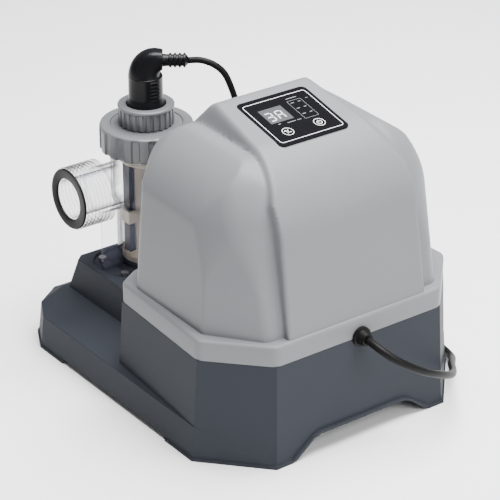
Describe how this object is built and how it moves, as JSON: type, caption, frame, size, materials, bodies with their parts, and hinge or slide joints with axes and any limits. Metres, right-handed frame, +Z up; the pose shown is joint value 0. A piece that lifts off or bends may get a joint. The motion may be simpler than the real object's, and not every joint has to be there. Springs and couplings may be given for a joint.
{
  "type": "salt chlorine generator",
  "caption": "Pool salt chlorine generator: domed power unit with a sloping key panel on a wide base, and a clear flow-through cell with union nut and plug on a pedestal behind it.",
  "frame": {"origin": "middle of the base's footprint, on the floor", "axes": "+Z up, front with the sloping panel faces -Y, the cell stands at the back to the left (-X)"},
  "size_m": [0.455, 0.4512, 0.3223],
  "materials": {
    "slate_plastic": "fine satin",
    "grey_plastic": "fine satin",
    "black_gloss": "glossy film",
    "circuit_board": "lacquered",
    "dark_display": "glossy",
    "black_plastic": "moulded",
    "ribbon": "matt",
    "laminated_steel": "varnished",
    "copper_winding": "enamelled",
    "bare_aluminium": "mill finish",
    "black_rubber": "matt",
    "screw_steel": "bright",
    "clear_plastic": "clear, polished",
    "nut_plastic": "satin",
    "pale_plastic": "smooth",
    "beige_plastic": "moulded",
    "coated_titanium": "matt oxide coating"
  },
  "bodies": {
    "unit": {"base_tray": "slate_plastic", "top_cover": "grey_plastic", "panel_sheet": "black_gloss", "display_board": "circuit_board", "digit_display": "dark_display", "key_switches": "black_plastic", "panel_ribbon": "ribbon", "control_board": "circuit_board", "transformer_core": "laminated_steel", "transformer_coil": "copper_winding", "heat_sink": "bare_aluminium", "rectifier": "black_plastic", "fuse_holder": "black_plastic", "mains_gland": "black_rubber", "cell_gland": "black_rubber", "cover_screws": "screw_steel", "board_screws": "screw_steel", "cell_vessel": "clear_plastic", "cell_screws": "screw_steel", "left_gasket": "black_rubber", "right_gasket": "black_rubber", "head_seal": "black_rubber", "cell_head": "nut_plastic", "electrode_frame": "beige_plastic", "electrode_plates": "coated_titanium", "terminal_studs": "screw_steel", "plug_seal": "black_rubber", "cell_plug": "black_plastic", "cell_lead": "black_rubber", "mains_cord": "black_rubber", "cord_coil": "black_rubber", "cord_tie": "black_plastic", "mains_plug": "black_plastic"},
    "power_button": {"power_key": "black_gloss"},
    "timer_button": {"timer_key": "black_gloss"},
    "nut_carrier": {"slip_ring": "pale_plastic"},
    "nut": {"union_nut": "nut_plastic"},
    "lock_carrier": {"lock_washer": "pale_plastic"},
    "lock": {"lock_ring": "nut_plastic"}
  },
  "joints": [
    {"name": "power_press", "type": "slide", "parent": "unit", "child": "power_button", "axis": [0, 0.2164, -0.9763], "range_m": [0, 0.0004], "stiffness_N_per_m": 800},
    {"name": "timer_press", "type": "slide", "parent": "unit", "child": "timer_button", "axis": [0, 0.2164, -0.9763], "range_m": [0, 0.0004], "stiffness_N_per_m": 800},
    {"name": "slip_ring_rise", "type": "slide", "parent": "unit", "child": "nut_carrier", "axis": [0, 0, 1], "range_m": [0, 0.0181]},
    {"name": "union_nut_turn", "type": "hinge", "parent": "nut_carrier", "child": "nut", "pos_m": [-0.035, 0.128, 0.226], "axis": [0, 0, 1], "range_deg": [0, 1620]},
    {"name": "lock_washer_rise", "type": "slide", "parent": "unit", "child": "lock_carrier", "axis": [0, 0, 1], "range_m": [0, 0.0151]},
    {"name": "lock_ring_turn", "type": "hinge", "parent": "lock_carrier", "child": "lock", "pos_m": [-0.035, 0.128, 0.25], "axis": [0, 0, 1], "range_deg": [0, 1350]}
  ],
  "couplings": [
    {"joint": "slip_ring_rise", "follows": "union_nut_turn", "m_per_rad": 0.00063662},
    {"joint": "lock_washer_rise", "follows": "lock_ring_turn", "m_per_rad": 0.00063662}
  ]
}
